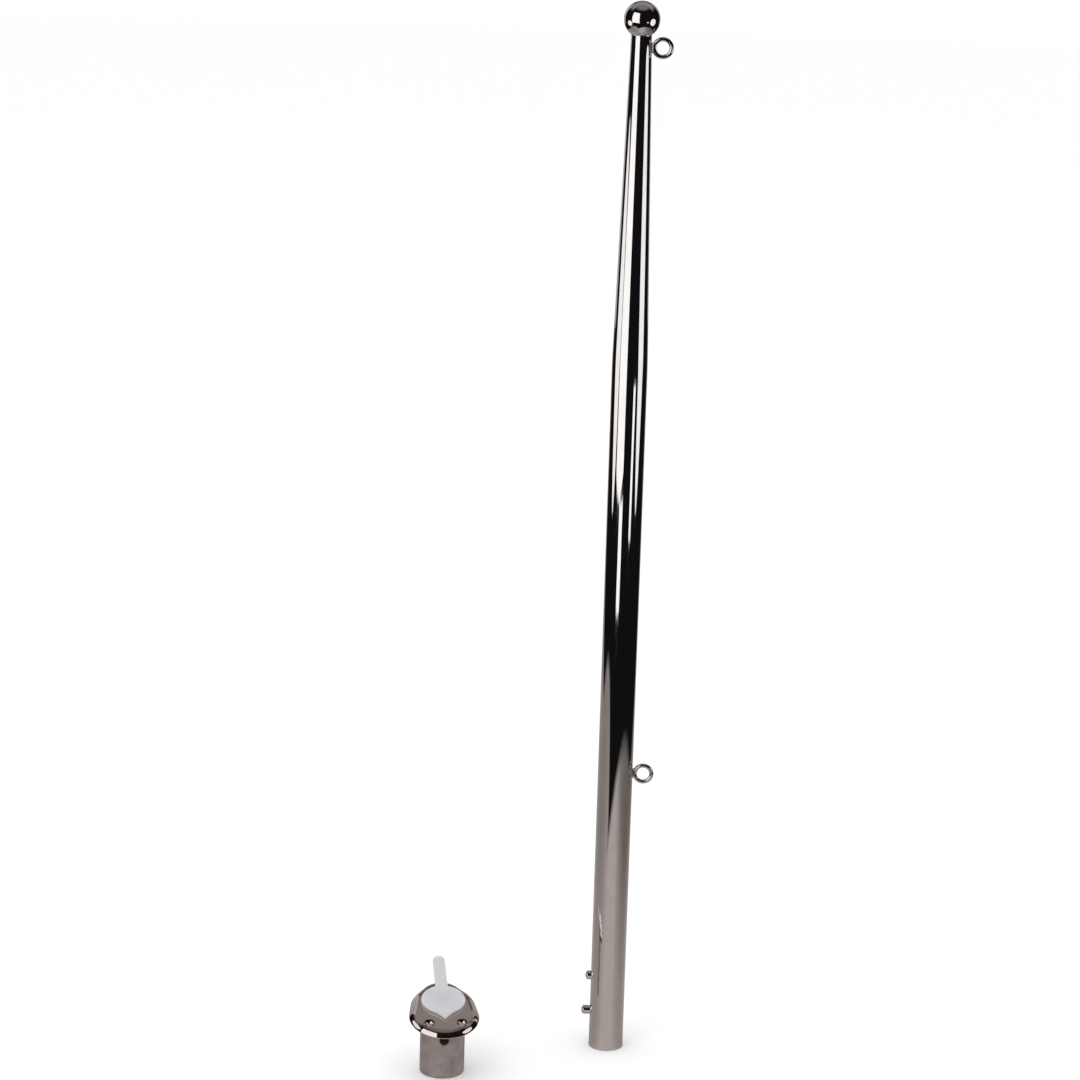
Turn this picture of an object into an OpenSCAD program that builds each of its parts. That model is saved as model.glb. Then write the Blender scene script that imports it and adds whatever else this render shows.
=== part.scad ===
// Stainless flagpole with a ball top, two welded eyes and a spring latch in its open foot,
// and the deck socket it lifts out of, closed with its plastic cap.
// Millimetres. The origin is the centre of the pole's foot, +Z runs up the pole, and the
// socket stands on the same plane with its low front edge towards -Y.

/* [Pole] */
// Outside diameter of the straight length of tube
pole_d = 25; // [16:0.5:40]
// Wall thickness of the tube
pole_wall = 1.5; // [1:0.1:3]
// Height at which the taper starts
straight_h = 509; // [250:1:1200]
// Height of the tube's top end
tube_h = 735; // [400:1:1800]
// Outside diameter of the tube's top end
top_d = 14.2; // [10:0.1:30]
// Diameter of the ball
ball_d = 25; // [16:0.5:40]
// Radius of the hollow fillet under the ball
ball_fillet = 1; // [0.4:0.1:3]
// Straight neck between the tube's end and the fillet
ball_neck = 0.2; // [0.1:0.1:2]
// Length of the ball's spigot inside the tube
spigot_l = 16; // [8:1:40]
// Radial clearance of the spigot in the tube
spigot_clear = 0.05; // [0.02:0.01:0.2]

/* [Eyes] */
// Wire thickness of the two eyes
eye_wire = 3; // [2:0.1:5]
// Inside diameter of the two eyes
eye_bore = 9; // [5:0.5:16]
// Height of the lower eye's centre
eye_low_z = 210; // [100:1:600]
// Distance of the upper eye's centre below the tube's top end
eye_top_drop = 8; // [8:1:40]
// Radius of the weld's hollow between eye and tube
weld_r = 0.75; // [0.4:0.05:1.5]

/* [Latch] */
// Height of the lock button above the pole's foot
lock_z = 27; // [20:0.5:60]
// Height of the release button above the pole's foot
release_z = 54; // [40:0.5:120]
// Height of the bend that the sprung leg flexes from
bend_z = 103; // [80:1:200]
// How far the lock button stands out of the tube
lock_out = 6.2; // [3:0.1:10]
// Diameter of both buttons
button_d = 6.4; // [4:0.1:10]
// Radius of the buttons' domed ends
button_dome = 4.6; // [4:0.1:12]
// Clearance round each button in the tube's holes
button_clear = 0.8; // [0.6:0.05:1.5]
// How far the sprung leg runs on below the lock button
leg_tail = 7; // [5:0.5:12]
// Diameter of the buttons' rivets
rivet_d = 2.8; // [1.5:0.1:3.5]
// Diameter of the rivets' heads
rivet_head_d = 4.6; // [3:0.1:6]
// Thickness of the rivets' heads
rivet_head_t = 0.7; // [0.4:0.1:1.5]
// Thickness of the spring strip
strip_t = 1; // [0.5:0.1:1.5]
// Width of the spring strip
strip_w = 8; // [5:0.5:12]
// Clearance between the strip's edges and the inside of the tube
strip_clear = 0.3; // [0.1:0.05:0.8]
// Height of the fixed leg's lower end
back_leg_z = 62; // [30:1:90]

/* [Socket] */
// Distance of the socket's axis to the left of the pole
socket_left = 117; // [80:1:300]
// Distance of the socket's axis in front of the pole
socket_front = 58; // [0:1:200]
// Turn of the socket about its own upright axis
socket_turn = 8.6; // [-180:0.1:180]
// Radial clearance of the pole in the socket's bore
pole_clear = 0.25; // [0.1:0.05:0.6]
// Wall thickness of the socket's tube
socket_wall = 3.25; // [2:0.05:6]
// Height of the mouth's centre above the socket's foot
mouth_z = 52.5; // [45:0.5:120]
// Forward lean of the flange
tilt = 15; // [0:1:30]
// Thickness of the ledge the pole stands on
ledge_t = 2; // [1:0.1:6]
// Diameter of the drain hole in the ledge
drain_d = 13; // [6:0.5:18]
// Clearance round the lock button in the socket's hole
lock_clear = 0.3; // [0.1:0.05:0.8]

/* [Flange] */
// Thickness of the flange
flange_t = 5; // [4:0.1:10]
// Radius of the flange's rounded upper rim
rim_r = 4; // [1:0.1:4.8]
// Radius of the flange's broad front
front_r = 25; // [20:0.5:45]
// Radius of the flange at its middle
mid_r = 23.2; // [18:0.1:40]
// Distance of the middle circle's centre in front of the mouth's centre
mid_v = 1; // [-5:0.5:8]
// Radius of the flange's narrow back
back_r = 16; // [10:0.5:30]
// How far the flange reaches in front of the bore
front_reach = 24.25; // [15:0.25:50]
// How far the flange reaches behind the bore
back_reach = 13.75; // [12:0.25:40]
// Diameter of the screw holes
screw_d = 4.3; // [3:0.1:6]
// Diameter of the countersinks
sink_d = 8.4; // [6.5:0.1:10]
// Sideways distance of each front screw hole from the middle
screw_u = 11.6; // [8:0.1:20]
// Distance of the front screw holes in front of the bore
screw_front = 11.85; // [7:0.05:30]
// Distance of the back screw hole behind the bore
screw_back = 7.25; // [6:0.05:12]

/* [Cap] */
// How far the cap's disc laps over the bore's edge
cap_lap = 3; // [2:0.1:6]
// Thickness of the cap's disc
cap_t = 2.6; // [1.5:0.1:4]
// How far the lip's tip stands out from the disc's edge
lip_out = 5.25; // [3:0.25:12]
// Width of the strap
strap_w = 9; // [5:0.5:14]
// Thickness of the strap
strap_t = 1.6; // [1:0.1:3]
// Length of the strap from the disc's edge
strap_l = 33.25; // [24:0.25:80]
// Length of the strap's flat stretch from the disc's edge
strap_flat = 12.25; // [6:0.25:20]
// Radius of the strap's upward curve
strap_curve = 90; // [60:1:300]
// Radial clearance of the plug in the bore
plug_clear = 0.2; // [0.1:0.05:0.5]
// Wall thickness of the plug
plug_wall = 1.2; // [0.8:0.1:2]
// Depth of the plug below the mouth's centre
plug_l = 12; // [8:0.5:20]

/* [Hidden] */
$fn = 96;
// how far a cutting shape runs past what it cuts
past = 1;
// how deep one shape is sunk in another it is joined to
bite = 0.1;

pole_r = pole_d / 2;
top_r = top_d / 2;
ball_r = ball_d / 2;
// the ball's centre, where its fillet meets both the ball and the tube's line
ball_z = tube_h + ball_neck + sqrt(pow(ball_r + ball_fillet, 2) - pow(top_r + ball_fillet, 2));
taper = (pole_r - top_r) / (tube_h - straight_h);
eye_top_z = tube_h - eye_top_drop;
eye_r = eye_bore / 2 + eye_wire;

// the strip's outer face just clears the tube along its edges
strip_x = sqrt(pow(pole_r - pole_wall - strip_clear, 2) - pow(strip_w / 2, 2));
bend_x = strip_x - strip_t / 2;
// both buttons come flush with the tube together
release_out = lock_out * (bend_z - release_z) / (bend_z - lock_z);
hole_r = button_d / 2 + button_clear;
rivet_r = rivet_d / 2;
// play between the sprung leg and the bend
bend_gap = 0.3;

bore_r = pole_r + pole_clear;
socket_r = bore_r + socket_wall;
front_v = bore_r + front_reach - front_r;
back_v = back_r - bore_r - back_reach;
screw_front_v = bore_r + screw_front;
screw_back_v = -bore_r - screw_back;
lock_hole_r = button_d / 2 + lock_clear;

cap_r = bore_r + cap_lap;
cap_gap = 0.05;
cap_edge = 1.2;
plug_r = bore_r - plug_clear;
tip_r = 1.2;
flare_r = 8;
// centre of the circle that hollows the lip's side, touching the disc and the tip
tip_v = cap_r + lip_out - tip_r;
flare_v = (pow(cap_r + flare_r, 2) - pow(tip_r + flare_r, 2) + tip_v * tip_v) / (2 * tip_v);
flare_u = sqrt(pow(cap_r + flare_r, 2) - flare_v * flare_v);
strap_bend_y = cap_r + strap_flat;
strap_end_y = cap_r + strap_l;
// more turn of the strap's curve than its end needs, so the end can be cut round
strap_turn = 30;

// ---- the pole ----

// solid shape of the tube's outside, made smaller all round by inset
module pole_solid(inset) {
    rotate_extrude()
        polygon([[0, 0], [pole_r - inset, 0], [pole_r - inset, straight_h],
                 [top_r - inset, tube_h], [0, tube_h]]);
}

// hole through the left wall for a button
module button_hole(z, r) {
    translate([0, 0, z]) rotate([0, -90, 0]) cylinder(h = pole_r + past, r = r);
}

module pole_tube() {
    color([0.80, 0.80, 0.81])
    difference() {
        pole_solid(0);
        rotate_extrude()
            polygon([[0, -past], [pole_r - pole_wall, -past], [pole_r - pole_wall, straight_h],
                     [top_r - pole_wall, tube_h], [top_r - pole_wall, tube_h + past],
                     [0, tube_h + past]]);
        button_hole(lock_z, hole_r);
        button_hole(release_z, hole_r);
    }
}

module ball_finial() {
    spigot_r = top_r - pole_wall - spigot_clear;
    // where the fillet leaves the ball
    join_r = (top_r + ball_fillet) * ball_r / (ball_r + ball_fillet);
    join_z = ball_z - sqrt(ball_r * ball_r - join_r * join_r);
    color([0.82, 0.82, 0.83])
    rotate_extrude()
        union() {
            intersection() {
                translate([0, ball_z]) circle(ball_r);
                translate([0, join_z]) square([ball_r + past, ball_d + past]);
            }
            difference() {
                translate([0, tube_h]) square([join_r, join_z - tube_h]);
                translate([top_r + ball_fillet, tube_h + ball_neck]) circle(ball_fillet);
                translate([top_r, tube_h - past]) square([ball_fillet, past + ball_neck]);
            }
            translate([0, tube_h - spigot_l]) square([spigot_r, spigot_l + bite]);
        }
}

// ring of wire welded by its edge to the tube at height z
module eye(z) {
    r_here = z > straight_h ? pole_r - (z - straight_h) * taper : pole_r;
    // the weld's hollows touch the tube this far above and below the eye's centre
    reach = sqrt(4 * eye_r * weld_r);
    web_w = past + eye_wire / 4;
    difference() {
        translate([r_here + eye_r, 0, z]) rotate([90, 0, 0])
            union() {
                rotate_extrude() translate([eye_r - eye_wire / 2, 0]) circle(eye_wire / 2);
                linear_extrude(height = eye_wire, center = true)
                    difference() {
                        translate([-eye_r - past, -reach]) square([past + web_w, 2 * reach]);
                        for (s = [-1, 1]) translate([weld_r - eye_r, s * reach]) circle(weld_r);
                        for (s = [-1, 1])
                            translate([weld_r - eye_r, s * reach - weld_r]) square([eye_r, 2 * weld_r]);
                        circle(eye_bore / 2);
                    }
            }
        pole_solid(0);
    }
}

module lower_eye() {
    color([0.78, 0.78, 0.79]) eye(eye_low_z);
}

module upper_eye() {
    color([0.78, 0.78, 0.79]) eye(eye_top_z);
}

// ---- the latch ----

// fixed part of the bent strip: the bend over the top and the leg against the right wall
module clip_spring() {
    color([0.62, 0.63, 0.65])
    union() {
        translate([0, 0, bend_z + bend_gap + strip_t / 2]) rotate([90, 0, 0])
            rotate_extrude(angle = 180)
                translate([strip_x - strip_t, -strip_w / 2]) square([strip_t, strip_w]);
        translate([strip_x - strip_t, -strip_w / 2, back_leg_z])
            cube([strip_t, strip_w, bend_z + bend_gap + strip_t / 2 - back_leg_z]);
    }
}

// sprung leg that carries both buttons
module clip_leg() {
    low = lock_z - leg_tail;
    color([0.62, 0.63, 0.65])
    difference() {
        union() {
            translate([-strip_x, -strip_w / 2, low]) cube([strip_t, strip_w, bend_z - low]);
            translate([-bend_x, 0, bend_z]) rotate([90, 0, 0])
                cylinder(h = strip_w, r = strip_t / 2, center = true);
        }
        button_hole(lock_z, rivet_r);
        button_hole(release_z, rivet_r);
    }
}

// domed button riveted through the sprung leg
module button(z, out) {
    top = pole_r + out - strip_x;
    translate([-strip_x, 0, z]) rotate([0, -90, 0])
        rotate_extrude()
            union() {
                intersection() {
                    square([button_d / 2, top]);
                    translate([0, top - button_dome]) circle(button_dome);
                }
                translate([0, -strip_t - bite]) square([rivet_r, strip_t + 2 * bite]);
                translate([0, -strip_t - rivet_head_t]) square([rivet_head_d / 2, rivet_head_t]);
            }
}

module lock_button() {
    color([0.75, 0.75, 0.77]) button(lock_z, lock_out);
}

module release_button() {
    color([0.75, 0.75, 0.77]) button(release_z, release_out);
}

// ---- the socket and its cap ----

module at_socket() {
    translate([-socket_left, -socket_front, 0]) rotate([0, 0, socket_turn]) children();
}

// everything above height z in the frame it is put in
module above(z) {
    translate([-socket_left, -socket_left, z]) cube([2 * socket_left, 2 * socket_left, mouth_z]);
}

// frame of the flange's top face: x across, y towards the high back end, z out of the face
module on_flange() {
    translate([0, 0, mouth_z]) rotate([tilt, 0, 0]) children();
}

// round plate r wide at v whose upper rim is rounded, with its top face at z = 0
module rim_disc(r, v) {
    translate([0, -v, 0]) rotate_extrude($fn = 36)
        difference() {
            translate([0, -flange_t]) square([r, flange_t]);
            difference() {
                translate([r - rim_r, -rim_r]) square(rim_r + past);
                translate([r - rim_r, -rim_r]) circle(rim_r, $fn = 32);
            }
        }
}

module flange() {
    hull() {
        rim_disc(back_r, back_v);
        rim_disc(mid_r, mid_v);
        rim_disc(front_r, front_v);
    }
}

module screw_hole(u, v) {
    translate([u, -v, 0]) {
        sink_h = (sink_d - screw_d) / 2;
        translate([0, 0, -flange_t - past]) cylinder(h = flange_t + 2 * past, d = screw_d);
        translate([0, 0, -sink_h]) cylinder(h = sink_h, d1 = screw_d, d2 = sink_d);
        cylinder(h = past, d = sink_d);
    }
}

module socket() {
    color([0.66, 0.64, 0.62])
    at_socket()
    difference() {
        union() {
            on_flange() flange();
            difference() {
                cylinder(h = mouth_z + socket_r, r = socket_r);
                on_flange() above(-flange_t / 2);
            }
        }
        translate([0, 0, ledge_t]) cylinder(h = mouth_z + socket_r, r = bore_r);
        translate([0, 0, -past]) cylinder(h = ledge_t + 2 * past, d = drain_d);
        translate([0, 0, lock_z + ledge_t]) rotate([90, 0, 0])
            cylinder(h = socket_r + past, r = lock_hole_r);
        on_flange() {
            screw_hole(screw_u, screw_front_v);
            screw_hole(-screw_u, screw_front_v);
            screw_hole(0, screw_back_v);
        }
    }
}

// outline of the pointed lip, drawn towards -y
module lip_outline() {
    k = tip_r / (tip_r + flare_r);
    difference() {
        polygon([[0, 0], [flare_u, -flare_v], [k * flare_u, -tip_v - k * (flare_v - tip_v)],
                 [-k * flare_u, -tip_v - k * (flare_v - tip_v)], [-flare_u, -flare_v]]);
        for (s = [-1, 1]) translate([s * flare_u, -flare_v]) circle(flare_r);
    }
    translate([0, -tip_v]) circle(tip_r);
}

module cap_disc() {
    rotate_extrude()
        difference() {
            square([cap_r, cap_t]);
            difference() {
                translate([cap_r - cap_edge, cap_t - cap_edge]) square(cap_edge + past);
                translate([cap_r - cap_edge, cap_t - cap_edge]) circle(cap_edge);
            }
        }
}

// strap that leaves the disc flat and then curves up to its rounded end
module cap_strap() {
    root = cap_r - cap_lap;
    tip = strap_end_y - strap_w / 2;
    tall = strap_l + 2 * past;
    intersection() {
        union() {
            translate([-strap_w / 2, root, 0]) cube([strap_w, strap_bend_y - root, strap_t]);
            translate([0, strap_bend_y, strap_curve]) rotate([0, 90, 0])
                rotate_extrude(angle = strap_turn)
                    translate([strap_curve - strap_t, -strap_w / 2]) square([strap_t, strap_w]);
        }
        union() {
            translate([-strap_w, 0, -past]) cube([2 * strap_w, tip, tall]);
            translate([0, tip, -past]) cylinder(h = tall, r = strap_w / 2);
        }
    }
}

// upright hollow plug, cut off along the underside of the disc
module cap_plug() {
    difference() {
        translate([0, 0, mouth_z - plug_l]) cylinder(h = plug_l + cap_r, r = plug_r);
        translate([0, 0, mouth_z - plug_l - past])
            cylinder(h = plug_l + cap_r + 2 * past, r = plug_r - plug_wall);
        on_flange() above(cap_gap + cap_t / 2);
    }
}

module cap() {
    color([0.90, 0.91, 0.92, 0.9])
    at_socket()
    union() {
        on_flange() translate([0, 0, cap_gap]) {
            cap_disc();
            linear_extrude(height = strap_t) lip_outline();
            cap_strap();
        }
        cap_plug();
    }
}

pole_tube();
ball_finial();
lower_eye();
upper_eye();
clip_spring();
clip_leg();
lock_button();
release_button();
socket();
cap();
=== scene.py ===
"""Polished flagpole with a spring latch in its foot, beside its deck socket and the socket's cap.

Lengths inside the shape functions are in millimetres, and the finished meshes are in metres.
"""

import math
from types import SimpleNamespace

import bmesh
import bpy
import numpy as np
from bpy.props import FloatProperty, FloatVectorProperty, PointerProperty
from mathutils import Matrix


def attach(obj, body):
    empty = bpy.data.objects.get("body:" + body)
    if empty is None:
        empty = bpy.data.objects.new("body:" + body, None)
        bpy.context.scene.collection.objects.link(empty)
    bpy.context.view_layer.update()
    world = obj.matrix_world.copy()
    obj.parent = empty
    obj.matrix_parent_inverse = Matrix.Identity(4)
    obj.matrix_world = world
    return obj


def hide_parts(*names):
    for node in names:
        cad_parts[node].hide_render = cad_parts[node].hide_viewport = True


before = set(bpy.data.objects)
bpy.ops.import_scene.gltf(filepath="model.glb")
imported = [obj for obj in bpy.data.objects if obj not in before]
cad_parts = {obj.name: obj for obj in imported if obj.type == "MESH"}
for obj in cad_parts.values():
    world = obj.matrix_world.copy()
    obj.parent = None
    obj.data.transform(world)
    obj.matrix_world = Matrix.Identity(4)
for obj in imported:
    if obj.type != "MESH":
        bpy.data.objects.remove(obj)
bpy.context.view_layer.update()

bl_info = {
    "name": "Flagpole and deck socket",
    "version": (1, 0, 0),
    "blender": (4, 5, 0),
    "location": "3D View > Sidebar > Flagpole",
    "description": "Builds a polished flagpole, its spring latch, its deck socket and the cap",
    "category": "Add Mesh",
}

MM = 0.001
MERGE = 2e-6  # points closer than this, in metres, become one
TURN = 2 * math.pi
LEFT = math.pi
FRONT = -math.pi / 2
SQUARE = 0.886  # half side of a square block of cells, as a share of its round hole's radius
HOLE_STEPS = 20  # cells along each side of a round wall's hole block

# Fine shapes in millimetres
TUBE_EDGE = 0.25  # rounding of the tube's ends
HOLE_EDGE = 0.15  # rounding of the tube's button holes
BALL_SEAM = 0.12  # groove between the ball and the tube
SPIGOT_FIT = 0.05  # gap round the ball's spigot
SPIGOT_EDGE = 0.5
EYE_SUNK = 0.3  # how far the eyes' welds reach into the tube's wall
STRIP_EDGE = 0.18
BEND_GAP = 0.3  # between the fixed leg's bend and the sprung leg
BUTTON_EDGE = 0.35
LOCK_EDGE = 0.2  # rounding of the socket's lock hole
MOUTH_EDGE = 0.3
UNDER_EDGE = 0.25
SINK_EDGE = 0.12
FOOT_EDGE = 0.8
SEAT_EDGE = 0.5
DRAIN_EDGE = 0.3
CAST_FILLET = 1.2  # between the socket's tube and the flange's underside
RIM_TURN = 0.9  # share of a quarter ellipse's width that the flange's rim takes
RIM_ROWS = 4.0  # width of the close rows of cells that follow the flange's outline
CAP_DISH = 0.22  # depth of the disc's hollow
CAP_FOOT = 0.25
STRAP_EDGE = 0.42
PIT_DEEP, PIT_WIDE = 0.7, 0.85  # the dimple near the strap's end

# Each lamp's name, shape, direction in degrees from straight in front (positive to the right),
# distance, lower edge, upper edge and width in metres, and the brightness of its face
LAMPS = (("Left_softbox", "RECTANGLE", -41, 3.0, -0.26, 3.2, 2.67, 1.25),
         ("Left_strip", "RECTANGLE", -24.5, 3.0, -0.46, -0.26, 1.11, 1.25),
         ("Left_lamp", "ELLIPSE", -86, 0.9, 0.2, 0.63, 0.58, 1.1),
         ("Right_lamp", "ELLIPSE", 75, 0.9, 0.2, 0.8, 0.65, 1.1),
         ("Right_strip", "RECTANGLE", 37.5, 3.0, -0.32, -0.045, 0.68, 1.25),
         ("Back_left_softbox", "RECTANGLE", -143, 3.0, 0.1, 3.0, 1.3, 0.42),
         ("Back_right_softbox", "RECTANGLE", 150, 3.0, 0.1, 3.0, 1.0, 0.25))
KEY_AT, KEY_WIDE, KEY_TIP = (-1.0, -1.4, 2.2), 1.6, 0.62  # place, width and tip in radians
ROOM_LIGHT = (1.12, 1.12, 1.12)
FLOOR_R = 12  # metres


# ---- sizes and colours that a user would change ----

def length(name, description, default, low, high):
    """A length whose default and limits are given in millimetres."""
    return FloatProperty(name=name, description=description, default=default * MM, min=low * MM,
                         max=high * MM, unit="LENGTH", precision=5)


def angle(name, description, default, low, high):
    """An angle whose default and limits are given in degrees."""
    return FloatProperty(name=name, description=description, default=math.radians(default),
                         min=math.radians(low), max=math.radians(high), unit="ROTATION")


def tint(name, description, default):
    return FloatVectorProperty(name=name, description=description, default=default, size=3,
                               min=0, max=1, subtype="COLOR")


class PoleSizes(bpy.types.PropertyGroup):
    """Sizes of the tube, its ball and its two eyes."""
    tube_d: length("Tube diameter", "Outside diameter of the straight length", 25, 16, 40)
    wall: length("Tube wall", "Thickness of the tube's wall", 1.5, 1, 3)
    straight_h: length("Taper height", "Height at which the taper starts", 509, 250, 1200)
    tube_h: length("Tube height", "Height of the tube's top end", 735, 400, 1800)
    top_d: length("Top diameter", "Outside diameter of the tube's top end", 14.2, 10, 30)
    bend: length("Soft bend", "Half height of the soft bend into the taper", 9, 1, 30)
    ball_d: length("Ball diameter", "Diameter of the ball", 25, 16, 40)
    ball_fillet: length("Ball fillet", "Radius of the hollow under the ball", 1, 0.4, 3)
    ball_neck: length("Ball neck", "Straight neck under the fillet", 0.2, 0.1, 2)
    spigot: length("Ball spigot", "Length of the ball's spigot inside the tube", 16, 8, 40)
    eye_wire: length("Eye wire", "Thickness of the eyes' wire", 3, 2, 5)
    eye_bore: length("Eye bore", "Inside diameter of the eyes", 9, 5, 16)
    eye_low: length("Lower eye", "Height of the lower eye's centre", 210, 100, 600)
    eye_drop: length("Upper eye", "Distance of the upper eye below the tube's end", 8, 8, 40)


class LatchSizes(bpy.types.PropertyGroup):
    """Sizes of the bent spring strip and its two buttons."""
    lock_z: length("Lock button height", "Height of the lock button", 27, 20, 60)
    release_z: length("Release button height", "Height of the release button", 54, 40, 120)
    bend_z: length("Bend height", "Height that the sprung leg flexes from", 103, 80, 200)
    lock_out: length("Lock button reach", "How far the lock button stands out", 6.2, 3, 10)
    button_d: length("Button diameter", "Diameter of both buttons", 6.4, 4, 10)
    button_dome: length("Button dome", "Radius of the buttons' domed ends", 4.6, 4, 12)
    hole_clear: length("Hole clearance", "Clearance round each button", 0.8, 0.6, 1.5)
    strip_t: length("Strip thickness", "Thickness of the spring strip", 1, 0.5, 1.5)
    strip_w: length("Strip width", "Width of the spring strip", 8, 5, 12)
    strip_clear: length("Strip clearance", "Clearance of the strip in the tube", 0.3, 0.1, 0.8)
    back_leg_z: length("Fixed leg's end", "Height of the fixed leg's lower end", 62, 30, 90)
    leg_tail: length("Leg's tail", "Length of the leg below the lock button", 7, 5, 12)
    rivet_d: length("Rivet diameter", "Diameter of the buttons' rivets", 2.8, 1.5, 3.5)
    rivet_head_d: length("Rivet head", "Diameter of the rivets' heads", 4.6, 3, 6)
    rivet_head_t: length("Rivet head thickness", "Thickness of the rivets' heads", 0.7, 0.4, 1.5)


class SocketSizes(bpy.types.PropertyGroup):
    """Place and sizes of the socket and its flange."""
    left: length("To the left", "Distance of the socket's axis from the pole", 117, 80, 300)
    forward: length("In front", "Distance of the socket's axis in front of the pole", 58, 0, 200)
    turn: angle("Turn", "Turn of the socket about its upright axis", 8.6, -180, 180)
    bore_d: length("Bore", "Inside diameter of the socket", 25.5, 16, 41)
    wall: length("Socket wall", "Thickness of the socket's wall", 3.25, 2, 6)
    mouth_z: length("Mouth height", "Height of the mouth's centre", 52.5, 45, 120)
    tilt: angle("Lean", "Forward lean of the flange", 15, 0, 30)
    ledge_t: length("Ledge", "Thickness of the ledge the pole stands on", 2, 1, 6)
    drain_d: length("Drain", "Diameter of the drain hole", 13, 6, 18)
    lock_hole_d: length("Lock hole", "Diameter of the hole for the lock button", 7, 4, 12)
    lock_hole_z: length("Lock hole height", "Height of the hole for the lock button", 29, 20, 60)
    flange_t: length("Flange thickness", "Thickness of the flange", 5, 4, 10)
    rim_h: length("Rim height", "How far the flange's rounded rim falls", 4.3, 1, 4.7)
    rim_w: length("Rim width", "How far in from its outline the flange's rim starts to fall",
                  7.2, 4.5, 9)
    front_r: length("Front radius", "Radius of the flange's broad front", 25, 20, 45)
    front_v: length("Front centre", "Distance of the front circle's centre", 12, 2, 30)
    mid_r: length("Middle radius", "Radius of the flange at its middle", 23.2, 18, 40)
    mid_v: length("Middle centre", "Distance of the middle circle's centre", 1, -5, 8)
    back_r: length("Back radius", "Radius of the flange's narrow back", 16, 10, 30)
    back_v: length("Back centre", "Distance of the back circle's centre", -10.5, -30, 0)
    screw_d: length("Screw hole", "Diameter of the screw holes", 4.3, 3, 6)
    sink_d: length("Countersink", "Diameter of the countersinks", 8.4, 6.5, 10)
    screw_u: length("Screws' half gap", "Sideways distance of the front holes", 11.6, 8, 20)
    screw_front: length("Front screws", "Distance of the front holes from the mouth", 24.6, 18, 40)
    screw_back: length("Back screw", "Distance of the back hole from the mouth", 20, 16, 30)


class CapSizes(bpy.types.PropertyGroup):
    """Sizes of the plastic cap."""
    disc_d: length("Disc", "Diameter of the cap's disc", 31.5, 20, 60)
    disc_t: length("Disc thickness", "Thickness of the disc", 2.6, 1.5, 4)
    edge: length("Disc edge", "Radius of the disc's rounded edge", 1.2, 0.3, 1.5)
    gap: length("Seat gap", "Gap between the cap and the flange", 0.05, 0, 0.5)
    lip_out: length("Lip", "How far the lip stands out from the disc", 5.25, 3, 12)
    lip_tip: length("Lip tip", "Radius of the lip's tip", 1.2, 0.5, 3)
    lip_flare: length("Lip hollow", "Radius that hollows the lip's sides", 30, 3, 60)
    strap_w: length("Strap width", "Width of the strap", 9, 5, 14)
    strap_t: length("Strap thickness", "Thickness of the strap", 1.6, 1, 3)
    strap_l: length("Strap length", "Length of the strap from the disc", 33.25, 24, 80)
    strap_flat: length("Flat stretch", "Length of the strap's flat stretch", 12.25, 6, 20)
    strap_curve: length("Strap curve", "Radius of the strap's upward curve", 90, 60, 300)
    plug_d: length("Plug", "Outside diameter of the plug", 25.1, 15, 40)
    plug_wall: length("Plug wall", "Thickness of the plug's wall", 1.2, 0.8, 2)
    plug_l: length("Plug depth", "Depth of the plug below the mouth", 12, 8, 20)


class Finishes(bpy.types.PropertyGroup):
    """Colours of the finishes."""
    steel: tint("Polished steel", "Colour of the polished steel", (0.80, 0.77, 0.75))
    flange: tint("Flange", "Colour of the flange's polished face", (0.72, 0.64, 0.60))
    spring: tint("Spring strip", "Colour of the rolled strip", (0.52, 0.51, 0.50))
    cast: tint("Cast steel", "Colour of the socket's satin body", (0.47, 0.42, 0.405))
    cap: tint("Cap", "Colour of the cap's milky plastic", (0.55, 0.54, 0.55))
    floor: tint("Floor", "Colour of the floor", (0.93, 0.92, 0.92))


class StudioSettings(bpy.types.PropertyGroup):
    """The camera and the lights."""
    lens: FloatProperty(name="Lens", description="Focal length", default=98.7, min=20, max=300,
                        unit="CAMERA")
    tilt: angle("Camera tilt", "How far the camera looks down", 13.37, 0, 80)
    pan: angle("Camera pan", "Turn of the camera to the right", -1.66, -90, 90)
    roll: angle("Camera roll", "Roll of the camera", 1.67, -90, 90)
    distance: length("Camera distance", "Distance of the camera in front of the pole", 2039, 500,
                     9000)
    height: length("Camera height", "Height of the camera", 865, 100, 5000)
    key: FloatProperty(name="Key light", description="Power of the soft key light", default=9,
                       min=0, max=200, unit="POWER")


GROUPS = {"flagpole_pole": PoleSizes, "flagpole_latch": LatchSizes, "flagpole_socket": SocketSizes,
          "flagpole_cap": CapSizes, "flagpole_finish": Finishes, "flagpole_studio": StudioSettings}


def sizes(context, group):
    """The lengths of a settings group in millimetres, and its angles as they are."""
    settings = getattr(context.scene, group)
    values = {}
    for key, prop in settings.bl_rna.properties.items():
        if prop.type == "FLOAT":
            values[key] = getattr(settings, key) / (MM if prop.unit == "LENGTH" else 1)
    return SimpleNamespace(**values)


# ---- grids of points ----

def ladder(*stretches):
    """Numbers that climb through stretches of (from, to, steps), each joint given once."""
    parts = [np.linspace(a, b, n, endpoint=False) for a, b, n in stretches]
    return np.concatenate(parts + [[stretches[-1][1]]])


def smooth(t):
    """0 below 0, 1 above 1, and a soft S between them."""
    t = np.clip(t, 0, 1)
    return t * t * (3 - 2 * t)


def arc(centre, radius, start, end, steps):
    """Points of a circle's arc in a plane, between two angles in degrees."""
    a = np.radians(np.linspace(start, end, steps + 1))
    return np.stack([centre[0] + radius * np.cos(a), centre[1] + radius * np.sin(a)], -1)


def line(*points):
    return np.array(points, float)


def revolve(profile, around):
    """A profile of (radius, height) turned about Z: (r cos a, r sin a, h) at each angle a."""
    r, h = np.asarray(profile)[:, 0, None], np.asarray(profile)[:, 1, None]
    a = np.asarray(around)[None]
    return np.stack([r * np.cos(a), r * np.sin(a), h + 0 * a], -1)


def circle(steps):
    return np.arange(steps) * TURN / steps


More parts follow.
